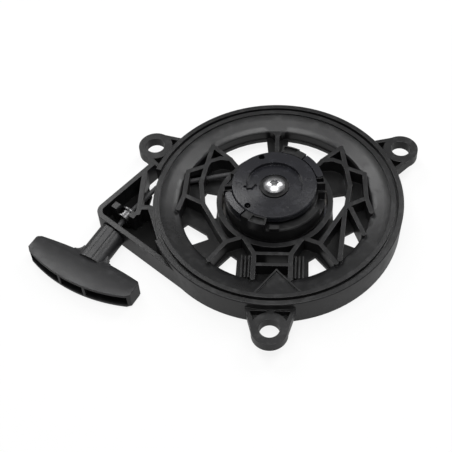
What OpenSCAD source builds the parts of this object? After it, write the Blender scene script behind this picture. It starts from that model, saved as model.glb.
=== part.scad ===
// Recoil starter for a small engine, seen from its engine side.
// Z is the crankshaft axis, up towards the engine. The origin is the centre
// of the three mounting holes, on the ears' mounting face.

/* [Housing ring] */
// Outer radius of the rim
rim_r = 84.5; // [82:0.5:88]
// Height of the rim above the ears' mounting face
rim_h = 5.2; // [4:0.2:7]
// Width of the rim's outer land
land_w = 3.5; // [2.5:0.5:4.5]
// Width of the seal groove
seal_w = 2; // [1:0.5:3]
// Depth of the seal groove
seal_d = 3; // [1:0.5:4]
// Width of the flat band inside the seal groove
band_w = 3; // [2:0.5:4]
// Drop from the band to the dish
step_h = 1.4; // [0.5:0.1:2]
// Inner radius of the dish
dish_r = 63; // [62:0.5:66]
// Drop of the dish from the step to its inner edge
dish_drop = 3.6; // [1:0.2:5]
// Wall thickness of the ring
ring_t = 3; // [2:0.5:4]
// Depth of the outer wall below the ears' mounting face
wall_d = 15.5; // [14.5:0.5:18]
// Depth of the face plate below the ears' mounting face
plate_d = 9.3; // [8:0.1:11]
// Thickness of the face plate
plate_t = 2.5; // [1.5:0.1:3]
// Ribs in the channel on the outer side
channel_ribs = 18; // [12:1:24]

/* [Ears] */
// Diameter of the mounting hole circle
ear_pcd = 195.5; // [192:0.5:204]
// Diameter of the mounting holes
ear_hole_d = 12.9; // [8:0.1:14]
// Radius of the ear's round end
ear_end_r = 11.6; // [10.5:0.1:13]
// Thickness of the ears
ear_t = 7; // [5:0.5:9]
// Width of an ear where it meets the ring
ear_base_w = 33; // [28:1:38]
// Width of the rib between an ear's two pockets
ear_rib_w = 4.5; // [3:0.5:7]
// Floor left under the ear pockets
ear_floor_t = 2; // [1:0.5:3]

/* [Hub cup] */
// Outer radius of the hub cup
cup_r = 38.5; // [38:0.5:41]
// Wall of the hub cup
cup_t = 3.5; // [2:0.1:3.5]
// Height of the cup's rim above the ears' mounting face
cup_h = 2.2; // [2:0.1:4]
// Thickness of the cup's floor
cup_floor_t = 2; // [1.5:0.1:2.5]
// Radius of the post that carries the pulley
post_r = 5; // [4.5:0.1:6]
// Height of the post above the ears' mounting face
post_h = 9; // [8.5:0.1:9.5]

/* [Lattice] */
// Width of the ribs
rib_w = 3; // [2:0.1:4]
// Height of the ribs above the ears' mounting face
rib_h = 3.2; // [1:0.2:4]
// Width of the rib at twelve o'clock
top_rib_w = 2.8; // [2:0.1:4]
// Distance from the centre line to the two front legs
leg_x = 11.8; // [10:0.2:14]
// Gap between the fins beside the legs
slat_gap = 1.3; // [1:0.1:1.8]

/* [Rope outlet] */
// Direction that the arm's pull face looks in, in degrees
arm_az = -128.4; // [-132:0.2:-126]
// Distance from the axis to the arm's pull face
arm_face = 83.3; // [82:0.1:86]
// Distance from the axis to the arm's side face
arm_side = 88.3; // [86:0.1:92]
// Wall thickness of the arm
arm_t = 3.5; // [2.5:0.1:4]
// Radius of the arm's outer corner
arm_corner_r = 8; // [5:0.5:12]
// Distance from the pull face back to the eyelet
eyelet_back = 14.8; // [13:0.1:16]
// Distance from the side face in to the eyelet
eyelet_in = 15.6; // [14:0.1:18]
// Radius of the eyelet's barrel
eyelet_r = 5; // [4.5:0.1:5.5]
// Radius of the eyelet's flange
eyelet_flange_r = 6.6; // [6.4:0.1:7]
// Bore radius of the eyelet
eyelet_bore_r = 3.1; // [2.6:0.1:3.5]
// Thickness of the wall that holds the eyelet
support_t = 5; // [4:0.5:6]

/* [Rope] */
// Rope diameter
rope_d = 3.5; // [3:0.1:3.8]
// Height of the rope where it leaves the pulley
rope_reel_z = -0.6; // [-1:0.1:-0.5]
// Height of the rope in the eyelet and the handle
rope_out_z = -8; // [-9:0.1:-7.5]

/* [Pulley] */
// Radius of the drum above the cup
drum_r = 33; // [32.5:0.1:34]
// Height of the drum's top face
drum_h = 12.2; // [12:0.1:12.4]
// Radius of the core that the rope winds on
core_r = 16; // [13:0.5:18]
// Thickness of the lower flange
flange_t = 1.2; // [0.8:0.1:1.4]
// Bottom of the lower flange, below the ears' mounting face
flange_d = 7.4; // [7.2:0.1:7.6]
// Top of the rope groove, above the ears' mounting face
groove_top = 1.2; // [1:0.1:1.6]
// Outer radius of the hub
hub_r = 8; // [7.6:0.1:9]
// Clearance of the running fits, on the radius
run_fit = 0.05; // [0.02:0.01:0.09]
// Inner radius of the raised sectors
sector_in_r = 27.9; // [27.9:0.1:28.6]
// Height of the raised sectors
sector_h = 19; // [18.4:0.1:19.2]
// First angle of a raised sector, in degrees
sector_a0 = 2; // [-6:1:3]
// Last angle of a raised sector, in degrees
sector_a1 = 82; // [80:1:84]

/* [Pawls] */
// Radius of the circle of the pawl pivots
pawl_pivot_r = 30.4; // [30.3:0.1:30.5]
// Angle of the first pawl's pivot, in degrees
pawl_a = 17; // [16:1:19]
// Radius of the pivot pin
pawl_pin_r = 1.5; // [1.2:0.1:1.6]
// Radius of the pawl's round heel
pawl_heel_r = 2.25; // [2.1:0.05:2.25]
// Angle that the pawl spans, in degrees
pawl_span = 33; // [30:1:34]
// Thickness of the pawl
pawl_t = 6.5; // [5.5:0.1:6.6]
// Width of the pawl at its nose
pawl_w = 4.4; // [4:0.1:4.4]

/* [Retainer] */
// Outer radius of the retainer
ret_r = 27.8; // [27:0.1:27.8]
// Height of the retainer's top
ret_h = 19.2; // [19:0.1:19.4]
// Height of the retainer's underside
ret_under = 14.8; // [14.6:0.1:15]
// Radius of the recess in the top
ret_recess_r = 18.5; // [17:0.5:20]
// Depth of the recess
ret_recess_d = 2.4; // [1.5:0.1:2.4]
// Radius of the counterbore round the bushing's flange
ret_cbore_r = 10; // [9.8:0.1:11]
// Radius of the bushing's barrel
bush_r = 7; // [6.6:0.1:7.2]
// Radius of the bushing's flange
bush_flange_r = 9.1; // [8.8:0.1:9.3]
// Radius of the screw's head
head_r = 7; // [6:0.1:7.5]
// Height of the screw's head
head_t = 3.8; // [3:0.1:4]
// Radius of the screw's shank
shank_r = 3; // [2.5:0.1:3.2]

/* [Handle] */
// Direction that the handle is pulled in, in degrees
pull_az = -117; // [-120:0.5:-114]
// Width of the stem
stem_w = 19.4; // [17:0.2:21]
// Thickness of the grip
grip_t = 12; // [11:0.2:13.6]
// Distance from the eyelet to the back of the crossbar
bar_back = 38.5; // [36:0.5:42]
// Depth of the crossbar at its middle
bar_depth = 25; // [22:0.5:28]
// Length of the crossbar
bar_len = 80; // [70:1:90]
// Radius of the crossbar's front
bar_front_r = 104; // [95:1:140]
// Radius of the crossbar's back
bar_back_r = 204; // [160:1:260]
// Wall of the grip
grip_wall = 1.8; // [1.5:0.1:2.2]
// Width of the middle pocket
mid_pocket = 17.4; // [14:0.2:20]

/* [Hidden] */
$fn = 96;
black = [0.09, 0.09, 0.1];
black_gloss = [0.13, 0.13, 0.15];
steel = [0.75, 0.76, 0.78];

// Ring radii, from the outside in
land_in = rim_r - land_w;
seal_in = land_in - seal_w;
band_in = seal_in - band_w;
step_z = rim_h - step_h;
dish_in_z = step_z - dish_drop;
wall_in = land_in - 0.8;
draft = 0.8;
plate_z = -plate_d;
plate_top = plate_z + plate_t;
cup_in = cup_r - cup_t;
cup_floor_z = -wall_d + cup_floor_t;
ear_r = ear_pcd / 2;

// Heights in the pulley and the spring below it
hub_bottom = cup_floor_z + 0.3;
hub_top = post_h - 0.2;
spring_z = cup_floor_z + 0.3;
spring_h = plate_z - 0.3 - spring_z;
slot_a = -95;
slot_w = 2;
cover_t = 0.5;
cover_z = -flange_d - 0.3 - cover_t;

// Stack on the post
bush_z = post_h;
head_z = ret_h - ret_recess_d + 0.2;
bush_flange_t = 1.6;

// A point of the lattice: angle from twelve o'clock, and the share of the
// way from the hub cup to the dish, on the left for side = 1, right for -1
function lat(a, f, side = 1) =
    let (r = cup_r + f * (dish_r - cup_r)) [-side * r * sin(a), r * cos(a)];
function polar(r, a) = [r * cos(a), r * sin(a)];
function unit(v) = v / norm(v);

// A straight rib between two points, with round ends a little wider than itself
end_bead = 0.16;
module bar(p, q, w) {
    d = q - p;
    translate(p) rotate(atan2(d.y, d.x)) translate([0, -w / 2]) square([norm(d), w]);
    translate(p) circle(r = w / 2 + end_bead, $fn = 24);
    translate(q) circle(r = w / 2 + end_bead, $fn = 24);
}

// A chain of ribs through a list of points
module ribs(pts, w) {
    for (i = [0 : len(pts) - 2]) bar(pts[i], pts[i + 1], w);
}

// The sector of a ring between two angles
module sector(r0, r1, a0, a1, z0, z1) {
    rotate([0, 0, a0]) rotate_extrude(angle = a1 - a0)
        translate([r0, z0]) square([r1 - r0, z1 - z0]);
}

// ---- housing ----

// Section of the ring: rim land, seal groove, band, step, dish and both walls
module ring_profile() {
    polygon([
        [rim_r - 0.5, rim_h], [rim_r, rim_h - 0.5],
        [rim_r - draft, -wall_d], [wall_in, -wall_d],
        [wall_in, rim_h - seal_d - ring_t],
        [band_in, step_z - ring_t],
        [dish_r + ring_t, dish_in_z - ring_t],
        [dish_r + ring_t, plate_z], [dish_r, plate_z],
        [dish_r, dish_in_z - 1], [dish_r + 1, dish_in_z],
        [band_in - 0.6, step_z], [band_in, step_z], [band_in, rim_h],
        [seal_in, rim_h], [seal_in, rim_h - seal_d],
        [land_in, rim_h - seal_d], [land_in, rim_h]
    ]);
}

// Stiffening ribs across the channel on the outer side
module channel_rib_set() {
    rib_len = wall_in - dish_r - ring_t + 1.5;
    for (i = [0 : channel_ribs - 1])
        rotate([0, 0, (i + 0.5) * 360 / channel_ribs])
            translate([dish_r + ring_t - 1, -rib_w / 3, plate_z - 2])
                cube([rib_len, rib_w * 2 / 3, dish_in_z - plate_z]);
}

module ear_outline() {
    polygon([[rim_r - 4, -ear_base_w / 2], [ear_r, -ear_end_r],
             [ear_r, ear_end_r], [rim_r - 4, ear_base_w / 2]]);
    translate([ear_r, 0]) circle(r = ear_end_r);
}

// The two pockets between the ring, the hole's boss and the ear's sides
module ear_pockets() {
    boss_r = ear_end_r + 0.2;
    for (s = [-1, 1]) difference() {
        polygon([[rim_r + 0.8, s * ear_rib_w / 2], [ear_r, s * ear_rib_w / 2],
                 [ear_r, s * (ear_end_r - 3)], [rim_r + 0.8, s * (ear_base_w / 2 - 4)]]);
        translate([ear_r, 0]) circle(r = boss_r);
    }
}

module ear() {
    difference() {
        translate([0, 0, -ear_t]) linear_extrude(ear_t) ear_outline();
        translate([0, 0, -ear_t + ear_floor_t]) linear_extrude(ear_t) ear_pockets();
        translate([ear_r, 0, -ear_t - 1]) cylinder(d = ear_hole_d, h = ear_t + 2);
    }
}

// Ribs of one side of the lattice, seen from above
module lattice_side(side) {
    a = lat(68.7, 1.03, side);
    b = lat(58.9, 0.68, side);
    c = lat(87.6, 0.89, side);
    d = lat(95.4, 0.363, side);
    m = lat(74.8, 0.53, side);
    apex = lat(43.5, 1.04, side);
    e = lat(139.6, 0.33, side);
    ribs([a, b, lat(54.3, 0.70, side), lat(47.1, 0.557, side), lat(42.1, 0.33, side),
          lat(43.4, 0.02, side)], rib_w);
    ribs([b, m, d, c, a], rib_w);
    ribs([b, apex, lat(42.1, 0.33, side)], rib_w);
    ribs([c, lat(98, 1.03, side)], rib_w);
    ribs([d, e, lat(141.2, 1.04, side)], rib_w);
    ribs([e, lat(146, 0, side)], rib_w);
}

// Twelve o'clock rib, which widens into the dish
module top_rib() {
    flare = [for (i = [0 : 6]) let (a = 15 * i)
        [top_rib_w / 2 + flare_r * (1 - cos(a)), dish_r - flare_r + flare_r * sin(a)]];
    half = concat([[top_rib_w / 2, cup_r]], flare, [[top_rib_w / 2 + flare_r, dish_r + 1.5]]);
    translate([0, 0, plate_z]) linear_extrude(dish_in_z - 0.3 - plate_z)
        polygon(concat(half, [for (i = [len(half) - 1 : -1 : 0]) [-half[i].x, half[i].y]]));
}
flare_r = 5;

module lattice_plan() {
    lattice_side(1);
    lattice_side(-1);
    // Two more struts on the right
    ribs([lat(100.5, 0.34, -1), lat(138, 1.03, -1)], rib_w);
    ribs([lat(97.4, 0.486, -1), lat(114.9, 1.03, -1)], rib_w);
    // Foot of the twelve o'clock rib on the cup
    translate([-4, cup_r - 1]) square([8, 4]);
    // Front legs with their cross rib
    for (s = [-1, 1])
        ribs([polar(cup_r - 1, -90 + s * 29), [s * leg_x, -cup_r - 5.5],
              [s * leg_x, -dish_r]], rib_w);
    bar([-leg_x, -cup_r - 14], [leg_x, -cup_r - 14], rib_w * 0.8);
    bar([-leg_x, -cup_r - 5.5], [leg_x, -cup_r - 5.5], rib_w * 0.8);
}

// Windows in one side of the face plate
module plate_windows(side) {
    // Beside the twelve o'clock rib
    polygon(concat([for (t = [0 : 5]) lat(7 + t * 6.4, 0.97, side)],
                   [for (t = [0 : 4]) lat(40 - t * 8.2, 0.06, side)]));
    // Beside the hub
    polygon([lat(72.6, 0.05, side), lat(73.6, 0.4, side), lat(78.2, 0.44, side),
             lat(93, 0.28, side), lat(103, 0.15, side), lat(103, 0.05, side)]);
    // Below the hexagon
    polygon([lat(103.2, 0.83, side), lat(105, 0.97, side), lat(113, 0.97, side),
             lat(120.5, 0.97, side), lat(122, 0.465, side), lat(116.4, 0.45, side)]);
    // Outside the front legs
    polygon([lat(144.6, 0.35, side), lat(143.5, 0.95, side), lat(151, 0.97, side),
             lat(158, 0.96, side), lat(151, 0.37, side)]);
}

// Fins on the plate next to the legs
module fins() {
    for (s = [-1, 1], i = [0 : 2])
        translate([s * (leg_x + 3 + i * (slat_gap + 1.1)) - 0.55, -cup_r - 20, plate_z + 1])
            cube([1.1, 17, plate_t + fin_h - 1]);
}
fin_h = 4;

module face_plate() {
    translate([0, 0, plate_z]) linear_extrude(plate_t) difference() {
        circle(r = dish_r + 1);
        circle(r = cup_r - 1);
        plate_windows(1);
        plate_windows(-1);
        // Window between the legs
        translate([-leg_x + 2, -cup_r - 12.5]) square([2 * leg_x - 4, 6]);
    }
}

// Triangular gusset at six o'clock
module front_gusset() {
    tip = [3, -dish_r + 6];
    left = [-10.5, -band_in + 1];
    right = [19, -band_in + 2.5];
    linear_extrude(step_z - 0.8) difference() {
        polygon([tip, left, right]);
        circle(r = dish_r - 8);
    }
    linear_extrude(step_z + 0.2) {
        bar(tip, left, 1.1);
        bar(tip, right, 1.1);
    }
}

// The post that the spring's outer end hooks on, below a tab of the plate
spring_lug = [-6, -cup_r - 9.5];
lug_w = 3;

module hub_cup() {
    translate([0, 0, -wall_d]) difference() {
        cylinder(r = cup_r, h = cup_h + wall_d);
        translate([0, 0, cup_floor_t]) cylinder(r = cup_in, h = cup_h + wall_d);
    }
    translate([0, 0, -wall_d]) cylinder(r = post_r, h = post_h + wall_d);
    translate([-leg_x, spring_lug.y - lug_w / 2, plate_z])
        cube([leg_x + spring_lug.x + lug_w / 2, lug_w, plate_t]);
    translate([spring_lug.x - lug_w / 2, spring_lug.y - lug_w / 2, -wall_d + 1])
        cube([lug_w, lug_w, plate_top + wall_d - 1]);
}

// ---- rope outlet arm: its own frame has X square to the pull face ----

eyelet_xy = [arm_face - eyelet_back, -(arm_side - eyelet_in)];
arm_corner = [arm_face - arm_corner_r, -(arm_side - arm_corner_r)];
function arm_to_part(p) =
    [p.x * cos(arm_az) - p.y * sin(arm_az), p.x * sin(arm_az) + p.y * cos(arm_az)];
function part_to_arm(p) = [p.x * cos(arm_az) + p.y * sin(arm_az),
                           -p.x * sin(arm_az) + p.y * cos(arm_az)];
eyelet = arm_to_part(eyelet_xy);

// Where the rope turns at the ring, and the round post that it turns on
guide = polar(rim_r - 2.3, 168.4);
bend_r = 6;
guide_in = unit(unit(eyelet - guide) + unit([cos(190.1), sin(190.1)]) * -1);
half_turn = acos(unit(eyelet - guide) * [cos(190.1), sin(190.1)]) / 2;
guide_post = guide + guide_in * bend_r / cos(half_turn);

module arm_plan() {
    side_end = 25;
    difference() {
        union() {
            translate(arm_corner) circle(r = arm_corner_r);
            translate([arm_face - arm_t, arm_corner.y]) square([arm_t, -arm_corner.y]);
            translate([side_end, -arm_side]) square([arm_corner.x - side_end, arm_t]);
        }
        difference() {
            translate([arm_corner.x - 20, arm_corner.y - arm_corner_r + arm_t])
                square([20 + arm_corner_r - arm_t, 20]);
            translate([arm_corner.x, arm_corner.y - 20]) square([20, 20]);
        }
        translate(arm_corner) circle(r = arm_corner_r - arm_t);
    }
}

// Outline of the arm's floor
module arm_floor_plan() {
    translate(arm_corner) circle(r = arm_corner_r);
    polygon([[arm_face, 0], [arm_face, arm_corner.y], [arm_corner.x, -arm_side],
             [34, -arm_side], [50, -60], [60, 0]]);
}

module arm_ribs_plan() {
    top = arm_to_part([36, -arm_side + 2.5]);
    knee = arm_to_part([60.5, -66.5]);
    foot = arm_to_part(eyelet_xy + [-4, 8.5]);
    bar(top, knee, arm_t);
    bar(knee, foot, arm_t);
    bar(knee, knee + [7, 0], arm_t);
    bar(knee + [7, 0], knee + [16.5, -27.5], arm_t * 0.9);
}

// The block that holds the eyelet, square to the rope's mean direction
eyelet_az = pull_az - 5;
module eyelet_support() {
    translate([eyelet.x, eyelet.y, -wall_d]) rotate([0, 0, eyelet_az])
        translate([-support_t / 2, -eyelet_r - 4.5, 0])
            cube([support_t, 2 * eyelet_r + 9, wall_d]);
}

module arm() {
    difference() {
        union() {
            translate([0, 0, -wall_d]) linear_extrude(wall_d) rotate(arm_az) arm_plan();
            translate([0, 0, -wall_d]) linear_extrude(wall_d) arm_ribs_plan();
            translate([0, 0, -wall_d]) linear_extrude(cup_floor_t) difference() {
                rotate(arm_az) arm_floor_plan();
                arm_gap_plan();
            }
            eyelet_support();
        }
        translate([0, 0, -wall_d - 1]) cylinder(r = land_in - 0.25, h = wall_d + 20);
    }
}

// The gap between the ring and the arm's inner rib, open right through
module arm_gap_plan() {
    top = arm_to_part([36, -arm_side + 6]);
    knee = arm_to_part([60.5, -66.5]);
    polygon([top + [3, -2], knee + [2, 3], knee + [8, 3], [-75, 8], [-75, 30]]);
}

// The rope's way out through the lattice, the ring and the arm
module rope_way() {
    start = polar(cup_in - 3, 96);
    rope_channel([start.x, start.y, rope_z_at(start)], [guide.x, guide.y, rope_z_at(guide)], 3.2);
    rope_channel([guide.x, guide.y, rope_z_at(guide)], [eyelet.x, eyelet.y, rope_out_z], 3.2);
}

// A round way between two points
module rope_channel(p, q, r) {
    d = q - p;
    translate(p) rotate([0, acos(d.z / norm(d)), atan2(d.y, d.x)]) cylinder(r = r, h = norm(d));
    translate(q) sphere(r = r, $fn = 48);
}

module housing() {
    color(black) difference() {
        union() {
            difference() {
                rotate_extrude($fn = 180) ring_profile();
                // The rim's land stops between the arm's walls
                sector(land_in - 0.1, rim_r + 1, 164, 206, -wall_d - 1, rim_h + 1);
            }
            sector(wall_in - 1, wall_in + 0.3, 163, 207, -wall_d, rim_h - seal_d - 0.2);
            channel_rib_set();
            for (a = [-90, 30, 150]) rotate([0, 0, a]) difference() {
                ear();
                translate([0, 0, -wall_d]) cylinder(r = rim_r - 3, h = wall_d + 1);
            }
            translate([0, 0, plate_z]) linear_extrude(rib_h - plate_z) difference() {
                lattice_plan();
                circle(r = cup_in + 0.5);
            }
            face_plate();
            fins();
            top_rib();
            front_gusset();
            hub_cup();
            arm();
            translate([guide_post.x, guide_post.y, -wall_d])
                cylinder(r = bend_r - rope_d / 2 - 0.05, h = wall_d - 0.6, $fn = 48);
        }
        rope_way();
        // Screw hole in the post, open at the top
        translate([0, 0, post_h - screw_depth]) cylinder(r = shank_r + run_fit, h = screw_depth + 1);
        // Slot for the spring's outer end
        rotate([0, 0, slot_a]) translate([cup_in - 1, -slot_w / 2, spring_z - 0.1])
            cube([cup_t + 2, slot_w, spring_h + 0.2]);
        // Seat of the eyelet, open upwards
        translate([eyelet.x, eyelet.y, rope_out_z]) rotate([0, 0, eyelet_az]) {
            rotate([0, 90, 0]) translate([0, 0, -6]) cylinder(r = eyelet_r + 0.02, h = 12);
            translate([-6, -eyelet_r - 0.02, 0]) cube([12, 2 * eyelet_r + 0.04, 20]);
            // Room for both flanges
            for (s = [-1, 1]) translate([s * (support_t + flange_room) / 2, 0, 0]) {
                rotate([0, 90, 0])
                    cylinder(r = eyelet_flange_r + 0.2, h = flange_room, center = true);
                translate([-flange_room / 2, -eyelet_flange_r - 0.2, 0])
                    cube([flange_room, 2 * eyelet_flange_r + 0.4, 20]);
            }
        }
        // Hole in the pull face, along the handle
        translate([eyelet.x, eyelet.y, rope_out_z]) rotate([0, 90, pull_az])
            translate([0, 0, 5]) cylinder(r = eyelet_bore_r + 1, h = 20);
    }
}

// ---- eyelet ----

flange = 1.2;
flange_room = flange + 0.3;
module rope_eyelet() {
    color(steel) translate([eyelet.x, eyelet.y, rope_out_z]) rotate([0, 0, eyelet_az])
        rotate([0, 90, 0]) rotate_extrude() polygon([
            [eyelet_bore_r, -support_t / 2],
            [eyelet_bore_r + 1, -support_t / 2 - flange],
            [eyelet_flange_r, -support_t / 2 - flange], [eyelet_flange_r, -support_t / 2],
            [eyelet_r, -support_t / 2], [eyelet_r, support_t / 2],
            [eyelet_flange_r - 0.6, support_t / 2], [eyelet_flange_r - 0.6, support_t / 2 + flange],
            [eyelet_bore_r + 1, support_t / 2 + flange], [eyelet_bore_r, support_t / 2]
        ]);
}

// ---- rope ----

// Knot in the core, at half the rope groove's height
reel_knot_r = 2.2;
reel_knot_x = core_r - 3.3;
groove_mid = (groove_top - flange_d + flange_t) / 2;
// Radius of the outermost layer of rope, which is pressed a little thinner
wind_gap = 0.4;
wind_d = rope_d - wind_gap;
wind_r = drum_r - 0.9 - wind_d / 2;
// The straight run meets the winding at its tangent point
tangent_len = sqrt(guide * guide - wind_r * wind_r);
tangent_a = atan2(guide.y, guide.x) - acos(wind_r / norm(guide));
tangent = polar(wind_r, tangent_a);
function rope_z_at(p) = let (run = norm(guide - tangent) + norm(eyelet - guide),
    s = (p == guide) ? norm(guide - tangent) : norm(p - tangent))
    rope_reel_z + (rope_out_z - rope_reel_z) * s / run;
guide_z = rope_reel_z + (rope_out_z - rope_reel_z) * tangent_len
    / (tangent_len + norm(eyelet - guide));

// Sweeps a tube with flat rings along a list of points
function frame_at(pts, i) =
    let (n = len(pts), a = pts[max(i - 1, 0)], b = pts[min(i + 1, n - 1)], t = unit(b - a),
         s = unit(cross([0, 0, 1], t)), u = cross(t, s)) [s, u];
module tube(pts, r, sides) {
    n = len(pts);
    verts = [for (i = [0 : n - 1]) let (f = frame_at(pts, i)) for (k = [0 : sides - 1])
        let (a = 360 * (k + 0.5) / sides) pts[i] + r * (cos(a) * f[0] + sin(a) * f[1])];
    caps = [[for (k = [0 : sides - 1]) k],
            [for (k = [sides - 1 : -1 : 0]) (n - 1) * sides + k]];
    walls = [for (i = [0 : n - 2], k = [0 : sides - 1]) let (k2 = (k + 1) % sides)
        each [[i * sides + k, (i + 1) * sides + k, i * sides + k2],
              [(i + 1) * sides + k, (i + 1) * sides + k2, i * sides + k2]]];
    polyhedron(points = verts, faces = concat(caps, walls));
}

// The run's own points: tangent, ring, guide post, eyelet, then the handle's bore
pull = [cos(pull_az), sin(pull_az)];
face_gap = 0.4;
stem_start = (eyelet_back + face_gap) / cos(pull_az - arm_az);
knot_r = 3.4;
knot_x = bar_back + 13;
end_gap = 0.15;
function lift(p, z) = [p.x, p.y, z];
function mix(a, b, t) = a + (b - a) * t;
run_start = lift(tangent, rope_reel_z);
run_guide = lift(guide, guide_z);
run_eyelet = lift(eyelet, rope_out_z);
bend_cut = bend_r * tan(half_turn);
arc_in = run_guide + unit(run_start - run_guide) * bend_cut;
arc_out = run_guide + unit(run_eyelet - run_guide) * bend_cut;
function bezier(a, b, c, t) = mix(mix(a, b, t), mix(b, c, t), t);
route = concat(
    [for (t = [0 : 0.125 : 0.876]) mix(run_start, arc_in, max(t, end_gap / tangent_len))],
    [for (t = [0 : 0.25 : 1]) bezier(arc_in, run_guide, arc_out, t)],
    [for (t = [0.33 : 0.33 : 0.7]) mix(arc_out, run_eyelet, t)],
    [run_eyelet],
    [for (x = [6, 12, 20, 28, 36, 44, knot_x - knot_r - end_gap])
        lift(eyelet + pull * x, rope_out_z)]
);

module rope_run() {
    color(black) tube(route, rope_d / 2, 8);
}

// Outer layer on the reel: one helix over a plain core of the inner layers
wind_turns = 1.1;
wind_pitch = wind_d + 0.5;
helix_start = tangent - unit(guide - tangent) * wind_d;
helix = concat([run_start, lift(helix_start, rope_reel_z)],
    [for (i = [1 : ceil(24 * wind_turns)])
        let (t = i / 24)
        lift(polar(wind_r, tangent_a - 360 * t), rope_reel_z - wind_pitch * t)]);
self_gap = min([for (i = [1 : len(helix) - 25]) norm(helix[i] - helix[i + 24])]) - wind_d;
echo(rope_winding_least_gap = self_gap);

module rope_winding() {
    color(black) {
        tube(helix, wind_d / 2, 6);
        translate([0, 0, -flange_d + flange_t + 0.15]) difference() {
            cylinder(r = wind_r - wind_d / 2 - 0.1, h = groove_top + flange_d - flange_t - 0.3);
            translate([0, 0, -1]) cylinder(r = core_r + 0.1, h = 20);
        }
    }
}

module reel_knot() {
    color(black) translate([reel_knot_x, 0, groove_mid]) sphere(r = reel_knot_r, $fn = 32);
}

module handle_knot() {
    p = eyelet + pull * knot_x;
    color(black) translate([p.x, p.y, rope_out_z]) sphere(r = knot_r, $fn = 40);
}

// ---- handle ----

module grip_place() {
    translate([eyelet.x, eyelet.y, rope_out_z]) rotate([0, 0, pull_az]) children();
}

// Plan of the crossbar: both long edges curve back towards the ends, whose
// corners are cut
module bar_plan() {
    half = bar_len / 2;
    front = bar_back + bar_depth + 5;
    back = bar_back - 1;
    intersection() {
        translate([bar_back + bar_depth - bar_front_r, 0]) circle(r = bar_front_r, $fn = 180);
        translate([bar_back + bar_back_r, 0]) circle(r = bar_back_r, $fn = 180);
        polygon([[back + 6.5, half], [back, half - 6.5], [back, 6.5 - half], [back + 6.5, -half],
                 [front - 14.5, -half], [front, 14.5 - half], [front, half - 14.5],
                 [front - 14.5, half]]);
    }
}

module bar_body() {
    crease = 7;
    difference() {
        intersection() {
            translate([0, 0, -grip_t / 2]) linear_extrude(grip_t) bar_plan();
            // Bevelled back
            translate([0, bar_len, 0]) rotate([90, 0, 0]) linear_extrude(2 * bar_len) polygon([
                [bar_back - 1, -grip_t / 6], [bar_back - 1, grip_t / 6],
                [bar_back + crease, grip_t / 2], [bar_back + bar_depth + 5, grip_t / 2],
                [bar_back + bar_depth + 5, -grip_t / 2], [bar_back + crease, -grip_t / 2]]);
        }
        bar_pockets();
    }
}

// Three pockets, open to the front
module bar_pockets() {
    pocket_h = grip_t - 2 * grip_wall;
    side_w = bar_len / 2 - mid_pocket / 2 - 2 * grip_wall;
    translate([bar_back + 8, -mid_pocket / 2, -pocket_h / 2])
        cube([bar_depth, mid_pocket, pocket_h]);
    for (s = [0, 1]) mirror([0, s, 0])
        translate([bar_back + 8, mid_pocket / 2 + grip_wall, -pocket_h / 2])
            cube([bar_depth, side_w, pocket_h]);
}

module stem_body() {
    side = (stem_w - grip_t) / 2;
    run_in = 4;
    rotate([90, 0, 90]) translate([0, 0, stem_start - run_in])
        linear_extrude(bar_back - stem_start + 2 * run_in) {
        for (s = [-1, 1]) translate([s * side, 0]) circle(d = grip_t, $fn = 48);
        square([2 * side, grip_t], center = true);
        // Ridge along its top
        polygon([[-3.4, grip_t / 2 - 1], [-2, grip_t / 2 + ridge_h], [2, grip_t / 2 + ridge_h],
                 [3.4, grip_t / 2 - 1]]);
    }
}
ridge_h = 0.5;

// Webs that round the corners between the stem and the crossbar
module joint_fillets() {
    for (s = [0, 1]) mirror([0, s, 0])
        translate([bar_back - fillet_r, stem_w / 2 - 2, -grip_t / 4]) linear_extrude(grip_t / 2)
        difference() {
            square([fillet_r + 3, fillet_r + 2]);
            translate([0, fillet_r + 2]) circle(r = fillet_r, $fn = 48);
        }
}
fillet_r = 4.5;

module handle_grip() {
    color(black) grip_place() difference() {
        union() {
            bar_body();
            joint_fillets();
            difference() {
                stem_body();
                // The stem's end lies along the pull face
                rotate([0, 0, arm_az - pull_az])
                    translate([eyelet_back + face_gap - 60, -60, -20]) cube([60, 120, 40]);
                bar_pockets();
            }
        }
        rotate([0, 90, 0]) cylinder(r = rope_d / 2 + 0.3, h = bar_back + 9);
    }
}

module handle_washer() {
    r = (grip_t - 2 * grip_wall) / 2 - 0.2;
    color(steel) grip_place() translate([bar_back + 8.1, 0, 0]) rotate([0, 90, 0]) difference() {
        cylinder(r = r, h = 1);
        translate([0, 0, -1]) cylinder(r = rope_d / 2 + 0.1, h = 3);
    }
}

// ---- pulley ----

module pulley_profile() {
    polygon([
        [post_r + run_fit, hub_bottom], [hub_r, hub_bottom], [hub_r, -flange_d],
        [drum_r, -flange_d], [drum_r, -flange_d + flange_t],
        [core_r, -flange_d + flange_t], [core_r, groove_top],
        [drum_r, groove_top], [drum_r, drum_h - 0.8], [drum_r - 0.8, drum_h],
        [spring_pit_r, drum_h], [spring_pit_r, groove_top + 2],
        [hub_r + 2, groove_top + 2], [hub_r + 2, hub_top], [post_r + run_fit, hub_top]
    ]);
}
spring_pit_r = 17.5;

// Room round a pawl in its pocket
pocket_fit = 0.35;

// Plan of a pawl: a round heel on the pivot and a curved blade to the nose
module pawl_plan(grow = 0) {
    out_r = drum_r - 0.4;
    translate(polar(pawl_pivot_r, pawl_a)) circle(r = pawl_heel_r + grow, $fn = 48);
    intersection() {
        difference() {
            circle(r = out_r + grow);
            circle(r = out_r - pawl_w - grow);
        }
        polygon([[0, 0], polar(60, pawl_a), polar(60, pawl_a + pawl_span)]);
    }
}

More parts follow.
